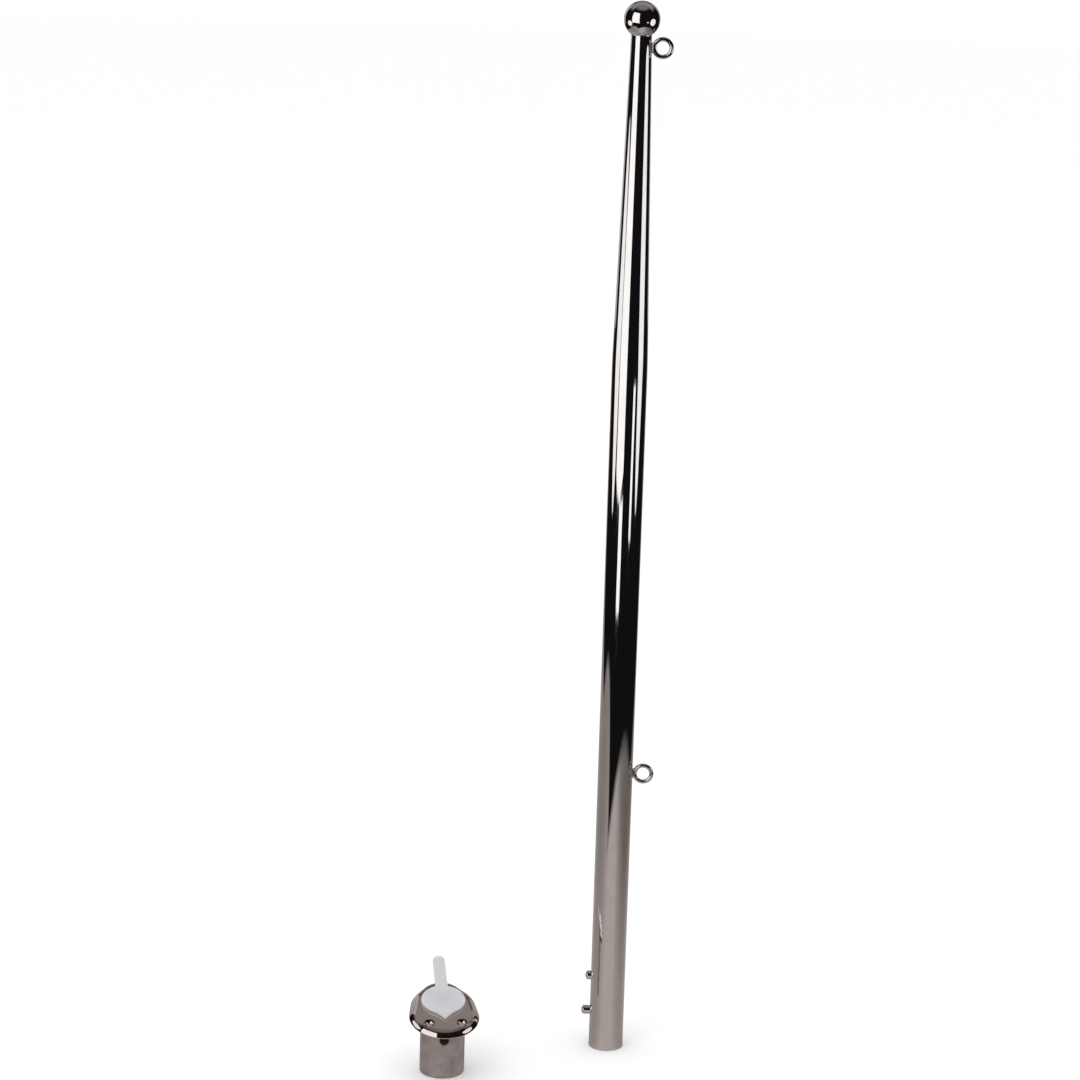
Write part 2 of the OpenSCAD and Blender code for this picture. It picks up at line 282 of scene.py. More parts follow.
def open_round(plane, centre, radius, block, fade=1.2):
    """Opens a round hole in a plane grid by moving its nodes along their rays from the centre.

    A node on the edge of the block of cells lands on the circle, and the move fades to nothing
    over fade half-blocks further out. Block is ((first row, last row), (first col, last col)).
    """
    (i0, i1), (j0, j1) = block
    i, j = np.indices(plane.shape[:2])
    across = (j - (j0 + j1) / 2 + plane.shape[1] / 2) % plane.shape[1] - plane.shape[1] / 2
    reach = np.maximum(abs(i - (i0 + i1) / 2) / ((i1 - i0) / 2), abs(across) / ((j1 - j0) / 2))
    away = plane - centre
    far = np.maximum(np.hypot(away[..., 0], away[..., 1]), 1e-6)
    share = 1 - smooth((reach - 1) / fade)
    return centre + away * (1 + share * (radius * reach / far - 1))[..., None]


def block_cells(shape, block):
    """True for the cells of a grid that lie inside a block."""
    (i0, i1), (j0, j1) = block
    keep = np.zeros(shape, bool)
    keep[i0:i1, np.arange(j0, j1) % shape[1]] = True
    return keep


def block_loop(grid, block):
    """The nodes round a block's edge, in order."""
    (i0, i1), (j0, j1) = block
    n = grid.shape[1]
    up, over = np.arange(i0, i1), np.arange(j0, j1)
    rows = np.concatenate([0 * over + i0, up, 0 * over + i1, up[::-1] + 1])
    cols = np.concatenate([over, 0 * up + j1, over[::-1] + 1, 0 * up + j0])
    return grid[rows, cols % n]


class Shell:
    """Grids of points in millimetres that are joined where they meet into one closed mesh."""

    def __init__(self):
        self.points, self.faces, self.finish, self.count = [], [], [], 0

    def grid(self, points, around=True, drop=None, finish=0):
        """Adds a grid of (rows, columns, 3) as quads; around joins the last column to the first."""
        rows, cols = points.shape[:2]
        i, j = np.indices((rows - 1, cols if around else cols - 1))
        right = (j + 1) % cols
        quads = np.stack([i * cols + j, i * cols + right, (i + 1) * cols + right,
                          (i + 1) * cols + j], -1)
        quads = quads.reshape(-1, 4) if drop is None else quads[~drop]
        self.points.append(points.reshape(-1, 3))
        self.faces.append(quads + self.count)
        self.finish.append(np.full(len(quads), finish))
        self.count += rows * cols

    def build(self, name, body, slot, materials, replaces, sharp=30):
        """Makes the object: doubles merged, faces turned outwards, soft shading, crisp edges."""
        mesh = bpy.data.meshes.new(name)
        mesh.from_pydata((np.concatenate(self.points) * MM).tolist(), [],
                         np.concatenate(self.faces).tolist())
        mesh.polygons.foreach_set("material_index", np.concatenate(self.finish).astype(np.int32))
        shell = bmesh.new()
        shell.from_mesh(mesh)
        bmesh.ops.remove_doubles(shell, verts=shell.verts, dist=MERGE)
        loose = [v for v in shell.verts if not v.link_faces]
        bmesh.ops.delete(shell, geom=loose, context="VERTS")
        open_edges = sum(1 for e in shell.edges if len(e.link_faces) != 2)
        bmesh.ops.recalc_face_normals(shell, faces=shell.faces)
        shell.to_mesh(mesh)
        shell.free()
        if open_edges:
            raise RuntimeError(f"{name} has {open_edges} edges that aren't shared by two faces")
        mesh.shade_smooth()
        mesh.set_sharp_from_angle(angle=math.radians(sharp))
        for finish in materials:
            mesh.materials.append(finish)
        piece = bpy.data.objects.new(name, mesh)
        bpy.context.scene.collection.objects.link(piece)
        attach(piece, body)
        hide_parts(*replaces)


# ---- materials ----

def add(tree, kind, *inputs, **settings):
    """A new shader node; each input is a pair of socket and value, or socket and source."""
    made = tree.nodes.new("ShaderNode" + kind)
    for key, value in settings.items():
        setattr(made, key, value)
    for key, value in inputs:
        if isinstance(value, bpy.types.NodeSocket):
            tree.links.new(value, made.inputs[key])
        else:
            made.inputs[key].default_value = value
    return made


def blank(name):
    """A material with its shader and the piece's own coordinates."""
    material = bpy.data.materials.new(name)
    material.use_nodes = True
    tree = material.node_tree
    place = tree.nodes.new("ShaderNodeTexCoord").outputs["Object"]
    return material, tree, tree.nodes["Principled BSDF"], place


def spread(tree, place, scale, detail=2.0, stretch=(1, 1, 1)):
    """Soft noise with scale features to the metre, stretched along the axes."""
    spot = add(tree, "Mapping", ("Vector", place), ("Scale", stretch)).outputs[0]
    noise = add(tree, "TexNoise", ("Vector", spot), ("Scale", scale), ("Detail", detail))
    return noise.outputs["Fac"]


def span(tree, value, low, high, to_low, to_high):
    """The value's stretch from low to high carried to another stretch."""
    return add(tree, "MapRange", ("Value", value), ("From Min", low), ("From Max", high),
               ("To Min", to_low), ("To Max", to_high)).outputs[0]


def both(tree, kind, first, second):
    """Two values taken together: their sum, product or maximum."""
    return add(tree, "Math", (0, first), (1, second), operation=kind).outputs[0]


def mix(tree, share, first, second):
    """A colour between two, each of them three numbers or a socket."""
    ends = [c if isinstance(c, bpy.types.NodeSocket) else (*c, 1) for c in (first, second)]
    return add(tree, "Mix", (0, share), (6, ends[0]), (7, ends[1]), data_type="RGBA").outputs[2]


def relief(tree, shader, height, distance):
    """A fine relief of that height in metres on the shader's surface."""
    bump = add(tree, "Bump", ("Height", height), ("Distance", distance), ("Strength", 1.0))
    tree.links.new(bump.outputs[0], shader.inputs["Normal"])


def shaded(colour, red, green, blue):
    return colour[0] * red, colour[1] * green, colour[2] * blue


def darker(colour, share):
    return shaded(colour, share, share, share)


def polished_steel(name, colour, rough, lines=(1, 1, 0.02)):
    """Buffed steel: a mirror with faint polishing lines, soft waves and a breath of haze."""
    material, tree, shader, place = blank(name)
    waves = spread(tree, place, 28, 1.0)
    marks = spread(tree, place, 1500, 3.0, lines)
    haze = spread(tree, place, 90, 4.0)
    tree.links.new(mix(tree, span(tree, haze, 0.35, 0.7, 0, 1), colour, darker(colour, 0.93)),
                   shader.inputs["Base Color"])
    tree.links.new(span(tree, both(tree, "MULTIPLY", haze, marks), 0.12, 0.45, rough * 0.6,
                        rough * 1.5), shader.inputs["Roughness"])
    relief(tree, shader, both(tree, "ADD", waves, span(tree, marks, 0, 1, 0, 0.006)), 0.00006)
    shader.inputs["Metallic"].default_value = 1.0
    return material


def cast_steel(name, colour):
    """Satin cast steel: mottled tone, a fine pebbled skin and a few warm stains."""
    material, tree, shader, place = blank(name)
    cloud = spread(tree, place, 130, 5.0)
    grain = spread(tree, place, 900, 3.0)
    stain = spread(tree, place, 70, 3.0)
    tone = mix(tree, span(tree, cloud, 0.3, 0.7, 0, 1), colour, darker(colour, 0.7))
    warm = mix(tree, span(tree, stain, 0.62, 0.74, 0, 0.55), tone, shaded(colour, 0.95, 0.66, 0.5))
    tree.links.new(warm, shader.inputs["Base Color"])
    tree.links.new(span(tree, cloud, 0.3, 0.7, 0.36, 0.5), shader.inputs["Roughness"])
    relief(tree, shader, both(tree, "ADD", cloud, grain), 0.00009)
    shader.inputs["Metallic"].default_value = 0.75
    return material


def rolled_strip(name, colour):
    """Rolled spring strip: fine lines along its length and a bluish temper tone."""
    material, tree, shader, place = blank(name)
    lines = spread(tree, place, 1800, 2.0, (1, 1, 0.015))
    cloud = spread(tree, place, 110, 3.0)
    tree.links.new(mix(tree, cloud, colour, shaded(colour, 0.8, 0.82, 0.9)),
                   shader.inputs["Base Color"])
    tree.links.new(span(tree, lines, 0.3, 0.7, 0.2, 0.36), shader.inputs["Roughness"])
    relief(tree, shader, lines, 0.000012)
    shader.inputs["Metallic"].default_value = 1.0
    return material


def milky_plastic(name, colour, middle, reach):
    """Soft moulded plastic: milky, barely glossy, with faint flow clouds and a fine skin.

    Within reach of its middle it is painted a little darker and cooler: painted shade of the dark
    hollow showing through.
    """
    material, tree, shader, place = blank(name)
    cloud = spread(tree, place, 60, 3.0)
    skin = spread(tree, place, 1100, 2.0)
    tone = mix(tree, span(tree, cloud, 0.35, 0.65, 0, 1), colour, darker(colour, 0.93))
    # painted shade: darker and cooler within reach of the middle, over the dark hollow
    away = add(tree, "VectorMath", (0, place), (1, middle), operation="DISTANCE").outputs["Value"]
    painted_hollow_shade = add(tree, "MapRange", ("Value", away), ("From Min", 0), ("From Max", reach),
               ("To Min", 0.9), ("To Max", 0), interpolation_type="SMOOTHSTEP").outputs[0]
    tree.links.new(mix(tree, painted_hollow_shade, tone, shaded(colour, 0.84, 0.87, 0.93)),
                   shader.inputs["Base Color"])
    tree.links.new(span(tree, skin, 0.3, 0.7, 0.38, 0.52), shader.inputs["Roughness"])
    relief(tree, shader, skin, 0.00003)
    shader.inputs["Subsurface Weight"].default_value = 0.35
    shader.inputs["Subsurface Scale"].default_value = 0.003
    shader.inputs["Subsurface Radius"].default_value = (1.0, 0.95, 1.0)
    shader.inputs["Specular IOR Level"].default_value = 0.4
    return material


# ---- the pole ----

def outside_radius(pole, z):
    """The tube's radius at height z: straight, then a taper that starts with a soft bend."""
    slope = (pole.tube_d - pole.top_d) / 2 / (pole.tube_h - pole.straight_h)
    t = np.clip((z - pole.straight_h + pole.bend) / (2 * pole.bend), 0, 1)
    fall = slope * np.where(t < 1, pole.bend * t * t, z - pole.straight_h)
    return pole.tube_d / 2 - fall


def hole_columns(radius, half, steps, total):
    """Angles from a hole's direction: steps of them across the hole's block, the rest evenly."""
    edge = math.asin(half / radius)
    inside = np.linspace(-edge, edge, steps + 1)
    return np.concatenate([inside, np.linspace(edge, TURN - edge, total - steps + 1)[1:-1]])


def round_wall(radius, z, angles, face, holes):
    """A round wall whose nodes are at radius, angle and height, with round holes opened in it.

    Each hole is (height, radius, block) and looks along the face angle. In the hole's own plane
    a node is at (radius times the sine of its angle, height), and open_round moves it there.
    """
    z = z + 0 * angles[None] if z.ndim == 2 else z[:, None] + 0 * angles[None]
    r = np.broadcast_to(np.asarray(radius, float).reshape(-1, 1), z.shape)
    a = np.broadcast_to(angles[None], z.shape)
    near = np.cos(a) > 0
    for height, hole_r, block in holes:
        plane = open_round(np.stack([r * np.sin(a), z], -1), (0, height), hole_r, block)
        a = np.where(near, np.arcsin(np.clip(plane[..., 0] / r, -1, 1)), a)
        z = np.where(near, plane[..., 1], z)
    return np.stack([r * np.cos(a + face), r * np.sin(a + face), z], -1)


def hole_side(loop, inner_loop, centre_z, hole_r, edge, face):
    """The side of a hole from the loop on the outer wall to the loop on the inner one.

    The first rows round the hole's edge: at turn t the radius is edge (1 - sin t) over the
    hole's own, and the depth is edge (1 - cos t).
    """
    ahead = np.array([math.cos(face), math.sin(face), 0])
    side = np.array([-math.sin(face), math.cos(face), 0])
    p, q, depth = loop @ side, loop[:, 2] - centre_z, loop @ ahead
    way = np.stack([p, q], -1) / np.hypot(p, q)[:, None]
    reach = np.hypot(depth, p)
    rows = [loop]
    for t in np.radians([30, 60, 90]):
        r = hole_r + edge * (1 - math.sin(t))
        d = np.sqrt(reach ** 2 - (r * way[:, 0]) ** 2) - edge * (1 - math.cos(t))
        rows.append(d[:, None] * ahead + (r * way[:, :1]) * side
                    + (centre_z + r * way[:, 1:]) * np.array([0, 0, 1]))
    return np.stack(rows + [inner_loop])


def tube_shell(pole, latch):
    """The tube: an outer and an inner round wall, two round holes and softly broken ends."""
    hole_r = latch.button_d / 2 + latch.hole_clear
    half, heights = SQUARE * hole_r, (latch.lock_z, latch.release_z)
    below, between, around, plain_z = 18, 26, 200, 82
    low, high = pole.straight_h - pole.bend, pole.straight_h + pole.bend
    z = ladder((TUBE_EDGE, heights[0] - half, below),
               (heights[0] - half, heights[0] + half, HOLE_STEPS),
               (heights[0] + half, heights[1] - half, between),
               (heights[1] - half, heights[1] + half, HOLE_STEPS),
               (heights[1] + half, plain_z, 20), (plain_z, low, 12), (low, high, 10),
               (high, pole.tube_h - TUBE_EDGE, 16))
    starts = (below, below + HOLE_STEPS + between)
    blocks = [((first, first + HOLE_STEPS), (0, HOLE_STEPS)) for first in starts]
    shell = Shell()
    walls = []
    for inset, extra in ((0, HOLE_EDGE), (pole.wall, 0)):
        angles = hole_columns(pole.tube_d / 2 - inset, half, HOLE_STEPS, around)
        wall = round_wall(outside_radius(pole, z) - inset, z, angles, LEFT,
                          [(h, hole_r + extra, block) for h, block in zip(heights, blocks)])
        cells = (len(z) - 1, around)
        shell.grid(wall, drop=block_cells(cells, blocks[0]) | block_cells(cells, blocks[1]))
        walls.append(wall)
    outer, inner = walls
    for height, block in zip(heights, blocks):
        shell.grid(hole_side(block_loop(outer, block), block_loop(inner, block), height, hole_r,
                             HOLE_EDGE, LEFT))
    shell.grid(end_ring(outer[0], inner[0], TUBE_EDGE, 1, 0))
    shell.grid(end_ring(outer[-1], inner[-1], TUBE_EDGE, -1, pole.tube_h))
    return shell


def end_ring(outer, inner, edge, up, end_z):
    """The end face of a tube between two rings, with both of its edges rounded."""
    turn = np.radians([0, 30, 60, 90])
    out_r, in_r = np.hypot(outer[:, 0], outer[:, 1]), np.hypot(inner[:, 0], inner[:, 1])
    out_a, in_a = np.arctan2(outer[:, 1], outer[:, 0]), np.arctan2(inner[:, 1], inner[:, 0])
    rows = []
    for r, a, sign in ((out_r, out_a, -1), (in_r, in_a, 1)):
        ring = [np.stack([(r + sign * edge * (1 - math.cos(t))) * np.cos(a),
                          (r + sign * edge * (1 - math.cos(t))) * np.sin(a),
                          0 * a + end_z + up * edge * (1 - math.sin(t))], -1) for t in turn]
        rows += ring if sign < 0 else ring[::-1]
    return np.stack(rows)


def ball_profile(pole):
    """Half outline of the ball: sphere, hollow fillet, short neck and the spigot in the tube."""
    ball_r, top_r, fillet = pole.ball_d / 2, pole.top_d / 2, pole.ball_fillet
    neck_z = pole.tube_h + pole.ball_neck
    rise = math.sqrt((ball_r + fillet) ** 2 - (top_r + fillet) ** 2)
    ball_z = neck_z + rise
    turn = math.degrees(math.atan2(-rise, top_r + fillet))
    spigot_r, spigot_z = top_r - pole.wall - SPIGOT_FIT, pole.tube_h - pole.spigot
    seam, seat_z = BALL_SEAM, pole.tube_h + 0.01
    return np.concatenate([
        line((0, ball_z + ball_r)), arc((0, ball_z), ball_r, 89, turn, 110),
        arc((top_r + fillet, neck_z), fillet, 180 + turn, 180, 12)[1:],
        line((top_r, pole.tube_h + seam), (top_r - 0.4 * seam, pole.tube_h + 0.4 * seam),
             (top_r - seam, seat_z), (spigot_r, seat_z), (spigot_r, spigot_z + SPIGOT_EDGE),
             (spigot_r - SPIGOT_EDGE, spigot_z), (0, spigot_z))])


def eye_grid(pole, z):
    """A ring of wire that swells into its weld on the tube's right side.

    At angle a round the ring the wire runs from the bore to an outer line, which is a circle
    that eases into the tube's wall near the weld. Its section is an ellipse whose corners fill
    out towards the wall, cos b and sin b each raised to a smaller power.
    """
    wire, bore = pole.eye_wire, pole.eye_bore / 2
    full, ease = math.radians(15), math.radians(20)
    a, b = circle(216)[:, None], circle(40)[None]
    off = np.abs(np.angle(np.exp(1j * (a - math.pi))))
    ring = bore + wire
    near_wall = (ring + EYE_SUNK) / np.maximum(np.cos(off), 0.5)
    weld = 1 - smooth((off - full) / ease)
    outer = ring + weld * (near_wall - ring)
    mid, half = (bore + outer) / 2, (outer - bore) / 2
    power = 1 - 0.3 * weld
    across = np.sign(np.cos(b)) * np.abs(np.cos(b)) ** power
    thick = np.sign(np.sin(b)) * np.abs(np.sin(b)) ** power
    r = mid + half * across
    x = outside_radius(pole, np.array(float(z))) + ring + r * np.cos(a)
    return np.stack([x, wire / 2 * thick + 0 * x, z + r * np.sin(a)], -1)


# ---- the latch ----

def strip_x(pole, latch):
    """Distance of the strip's outer face from the pole's axis."""
    inside = pole.tube_d / 2 - pole.wall - latch.strip_clear
    return math.sqrt(inside ** 2 - (latch.strip_w / 2) ** 2)


def swept_strip(path, ways, thick, wide):
    """A flat strip with rounded edges carried along a path in the XZ plane.

    At each path point the section's width runs along Y and its thickness along the given way.
    The first and last sections are drawn in to the middle, so that the ends are closed.
    """
    r = STRIP_EDGE
    h, w = thick / 2 - r, wide / 2 - r
    section = np.concatenate([arc((a, b), r, start, start + 90, 4) for a, b, start in (
        (h, w, 0), (-h, w, 90), (-h, -w, 180), (h, -w, 270))])
    path, ways = np.asarray(path, float), np.asarray(ways, float)
    along = np.gradient(path, axis=0)
    along /= np.linalg.norm(along, axis=1)[:, None]
    last = len(path) - 1
    index = [0, 0, *range(last + 1), last, last]
    share = np.ones((last + 5, 1, 1))
    share[[0, 1, -2, -1], 0, 0] = 0, 0.8, 0.8, 0
    shift = np.zeros((last + 5, 1))
    shift[[2, -3], 0] = r, -r
    centre = path[index] + along[index] * shift
    flat = centre[:, None] + share * section[None, :, :1] * ways[index][:, None]
    points = np.zeros((*flat.shape[:2], 3))
    points[..., 0], points[..., 2] = flat[..., 0], flat[..., 1]
    points[..., 1] = share[..., 0] * section[None, :, 1]
    return points


def leg_grid(pole, latch):
    """The sprung leg, straight from its tail up to the bend, with a rolled upper end."""
    x = strip_x(pole, latch) - latch.strip_t / 2
    z = ladder((latch.lock_z - latch.leg_tail, latch.bend_z + latch.strip_t / 2, 60))
    path = np.stack([0 * z - x, z], -1)
    return swept_strip(path, np.tile([1.0, 0.0], (len(z), 1)), latch.strip_t, latch.strip_w)


def bend_grid(pole, latch):
    """The fixed leg up the right wall and the half circle over to the sprung leg's end."""
    x = strip_x(pole, latch) - latch.strip_t / 2
    top = latch.bend_z + BEND_GAP + latch.strip_t / 2
    z = ladder((latch.back_leg_z, top, 24))
    turn = np.linspace(0, math.pi, 61)[1:]
    path = np.concatenate([np.stack([0 * z + x, z], -1),
                           np.stack([x * np.cos(turn), top + x * np.sin(turn)], -1)])
    ways = np.concatenate([np.tile([1.0, 0.0], (len(z), 1)),
                           np.stack([np.cos(turn), np.sin(turn)], -1)])
    return swept_strip(path, ways, latch.strip_t, latch.strip_w)


def button_grid(pole, latch, z, out):
    """A domed button turned about an axis that looks left, with its rivet through the leg."""
    base = strip_x(pole, latch)
    tall, r, dome = pole.tube_d / 2 + out - base, latch.button_d / 2, latch.button_dome
    rim, edge = math.degrees(math.asin((r - 0.25) / dome)), BUTTON_EDGE
    rivet, head, head_t = latch.rivet_d / 2, latch.rivet_head_d / 2, latch.rivet_head_t
    crown = arc((0, tall - dome), dome, 90, 90 - rim, 26)
    start, end = crown[-1], np.array([r, crown[-1][1] - 2 * edge])
    corner = start + (r - start[0]) * np.array([1, -math.tan(math.radians(rim))])
    t = np.linspace(0, 1, 7)[1:, None]
    bend = (1 - t) ** 2 * start + 2 * t * (1 - t) * corner + t ** 2 * end
    back = -latch.strip_t
    profile = np.concatenate([
        crown, bend, line((r, 0.1), (r - 0.1, 0), (rivet, 0), (rivet, back), (head, back)),
        arc((head - edge, back - head_t + edge), edge, 0, -90, 5),
        line((head * 0.5, back - head_t), (0, back - head_t))])
    turned = revolve(profile, circle(72))
    return np.stack([-base - turned[..., 2], turned[..., 1], z + turned[..., 0]], -1)


# ---- the socket ----

def socket_place(socket, points):
    """Points of the socket's own upright frame carried to their place."""
    c, s = math.cos(socket.turn), math.sin(socket.turn)
    x, y, z = points[..., 0], points[..., 1], points[..., 2]
    return np.stack([c * x - s * y - socket.left, s * x + c * y - socket.forward, z], -1)


def lean(socket, plane, n):
    """Upright place of points (across, towards the high back) that lie n out of the flange."""
    c, s = math.cos(socket.tilt), math.sin(socket.tilt)
    w = plane[..., 1]
    return np.stack([plane[..., 0] + 0 * n, w * c - n * s, socket.mouth_z + w * s + n * c], -1)


def plane_z(socket, y, n):
    """Height above the foot of the plane that lies n out of the flange's face."""
    return socket.mouth_z + (n + y * math.sin(socket.tilt)) / math.cos(socket.tilt)


def outline(socket, steps=150, straight=8):
    """The flange's outline as circle centres, radii and outward normals, one row a sample.

    The outline is the tight band round three circles in a row: arcs of each circle between the
    bands' tangent directions, and straight stretches along which centre and radius run evenly.
    """
    rings = [(-socket.front_v, socket.front_r), (-socket.mid_v, socket.mid_r),
             (-socket.back_v, socket.back_r)]
    switch = [math.asin((b[1] - a[1]) / (a[0] - b[0])) for a, b in zip(rings, rings[1:])]
    bounds = [-math.pi / 2, *switch, math.pi / 2]
    half = []
    for k, (w, r) in enumerate(rings):
        lo, hi = bounds[k], bounds[k + 1]
        a = np.linspace(lo, hi, max(3, round(steps * (hi - lo) / math.pi)))
        half.append(np.stack([0 * a + w, 0 * a + r, a], -1))
        if k < 2:
            t = np.linspace(0, 1, straight + 1)[1:-1, None]
            here, there = half[-1][-1], np.array([*rings[k + 1], bounds[k + 1]])
            half.append(here + t * (there - here))
    right = np.concatenate(half)
    left = right[::-1][1:-1].copy()
    left[:, 2] = math.pi - left[:, 2]
    return np.concatenate([right, left])


def drawn_in(band, inset):
    """The outline drawn in by an inset: each centre plus (radius less inset) along its normal."""
    way = np.stack([np.cos(band[:, 2]), np.sin(band[:, 2])], -1)
    return np.stack([0 * band[:, 0], band[:, 0]], -1) + (band[:, 1:2] - inset) * way


def inside_by(band, points):
    """How far points of the flange's plane lie inside its outline: the least distance to the
    line that touches the outline square to each normal."""
    away = np.stack([np.cos(band[:, 2]), np.sin(band[:, 2])])
    limit = band[:, 0] * away[1] + band[:, 1]
    return (limit - points @ away).min(-1)


def plate_grid(socket, band, insets, ring_r, ring_n, rows, holes, counts=None):
    """A face of the flange from its outline in to the ring where it meets the upright tube.

    The outer rows follow the outline drawn in by each inset; from the last of them the rows run
    evenly to the ring, which is the circle of radius ring_r seen on the leaning plane. Each
    hole (u, w, radius) is opened in a block of cells, about as wide as the hole if no counts
    are given. Gives the plane grid, the blocks, their counts and the ring's angles.
    """
    c = math.cos(socket.tilt)
    last = drawn_in(band, insets[-1])
    shift = np.array([0, ring_n * math.tan(socket.tilt)])
    a = np.unwrap(np.arctan2((last - shift)[:, 1] * c, (last - shift)[:, 0]))
    a -= TURN * round((a[0] - FRONT) / TURN)
    ring = shift + np.stack([ring_r * np.cos(a), ring_r * np.sin(a) / c], -1)
    t = np.linspace(0, 1, rows + 1)[1:, None, None]
    plane = np.concatenate([[drawn_in(band, i) for i in insets], last + t * (ring - last)])
    blocks, found = [], []
    for k, (u, w, r) in enumerate(holes):
        i, j = np.unravel_index(np.hypot(plane[..., 0] - u, plane[..., 1] - w).argmin(),
                                plane.shape[:2])
        up = np.linalg.norm(plane[i + 1, j] - plane[i - 1, j]) / 2
        side = np.linalg.norm(plane[i, (j + 1) % len(band)] - plane[i, j - 1]) / 2
        hi, hj = counts[k] if counts else (round(SQUARE * r / up), round(SQUARE * r / side))
        blocks.append(((i - hi, i + hi), (j - hj, j + hj)))
        found.append((hi, hj))
    first, last = plane[0].copy(), plane[-1].copy()
    for (u, w, r), block in zip(holes, blocks):
        plane = open_round(plane, np.array([u, w]), r, block, fade=0.9)
    plane[0], plane[-1] = first, last
    return plane, blocks, found, a


def flange_grids(shell, socket, band):
    """The flange: a top face whose rim rolls over, a flat underside and three sunk screw holes.

    The rim falls away as the first part of a quarter ellipse over its width: with f going from 0
    at the rim's inner end to RIM_TURN at the outline, its depth goes as 1 - root (1 - f squared).
    Gives the angles of the mouth's ring and of the underside's ring.
    """
    rim, wide, thick = socket.rim_h, socket.rim_w, socket.flange_t
    screws = [(socket.screw_u, -socket.screw_front), (-socket.screw_u, -socket.screw_front),
              (0, socket.screw_back)]
    steep = math.acos(1 - RIM_ROWS / wide)
    insets = list(wide * (1 - np.cos(np.linspace(0, steep, 19))))
    top, top_blocks, counts, mouth_a = plate_grid(
        socket, band, insets, socket.bore_d / 2 + MOUTH_EDGE, 0, 34,
        [(u, w, socket.sink_d / 2) for u, w in screws])
    share = RIM_TURN * np.clip(1 - inside_by(band, top) / wide, 0, 1)
    top_n = rim * (np.sqrt(1 - share ** 2) - 1) / (1 - math.sqrt(1 - RIM_TURN ** 2))
    top_n[0] = -rim
    under, under_blocks, _, under_a = plate_grid(
        socket, band, [UNDER_EDGE, 3 * UNDER_EDGE], socket.bore_d / 2 + socket.wall + CAST_FILLET,
        -thick, 47, [(u, w, socket.screw_d / 2) for u, w in screws], counts)
    under_n = np.full(under.shape[:2], -thick)
    for plane, n, blocks, finish in ((top, top_n, top_blocks, 0),
                                     (under, under_n, under_blocks, 1)):
        drop = np.zeros((len(plane) - 1, len(band)), bool)
        for block in blocks:
            drop |= block_cells(drop.shape, block)
        shell.grid(socket_place(socket, lean(socket, plane, n)), drop=drop, finish=finish)
    turn = np.radians(np.linspace(0, 90, 5))
    side = [(0, -rim)] + [(UNDER_EDGE * (1 - math.cos(t)), -thick + UNDER_EDGE * (1 - math.sin(t)))
                          for t in turn]
    shell.grid(socket_place(socket, np.stack([
        lean(socket, drawn_in(band, d), np.full(len(band), n)) for d, n in side])))
    sink = (socket.sink_d - socket.screw_d) / 2
    for (u, w), top_block, under_block in zip(screws, top_blocks, under_blocks):
        loop, loop_n = block_loop(top, top_block), block_loop(top_n, top_block)
        way = (loop - (u, w)) / np.linalg.norm(loop - (u, w), axis=1)[:, None]
        rings = [(socket.sink_d / 2, loop_n), (socket.sink_d / 2 - SINK_EDGE, loop_n - 0.05),
                 (socket.screw_d / 2, 0 * loop_n - sink),
                 (socket.screw_d / 2, 0 * loop_n - thick + 0.5)]
        rows = [lean(socket, (u, w) + r * way, n) for r, n in rings]
        low = block_loop(under, under_block)
        rows.append(lean(socket, low, np.full(len(low), -thick)))
        shell.grid(socket_place(socket, np.stack(rows)))
    return mouth_a, under_a


def upright_wall(socket, radius, low, hole_r, ring_a, ring_n, rows):
    """A round wall from height low up to the leaning plane, with the lock hole at its front."""
    half, lock_z = SQUARE * socket.lock_hole_d / 2, socket.lock_hole_z
    angles = hole_columns(radius, half, HOLE_STEPS, len(ring_a))
    z = ladder((low, lock_z - half, 16), (lock_z - half, lock_z + half, HOLE_STEPS),
               (lock_z + half, lock_z + 8, 14))
    block = ((16, 16 + HOLE_STEPS), (0, HOLE_STEPS))
    lower = round_wall(radius, z, angles, FRONT, [(lock_z, hole_r, block)])
    s = np.linspace(0, 1, rows + 1)[1:, None]
    a = (1 - s) * (angles + FRONT) + s * ring_a
    top = plane_z(socket, radius * np.sin(a), ring_n)
    upper = np.stack([radius * np.cos(a), radius * np.sin(a), (1 - s) * z[-1] + s * top], -1)
    return np.concatenate([lower, upper]), block


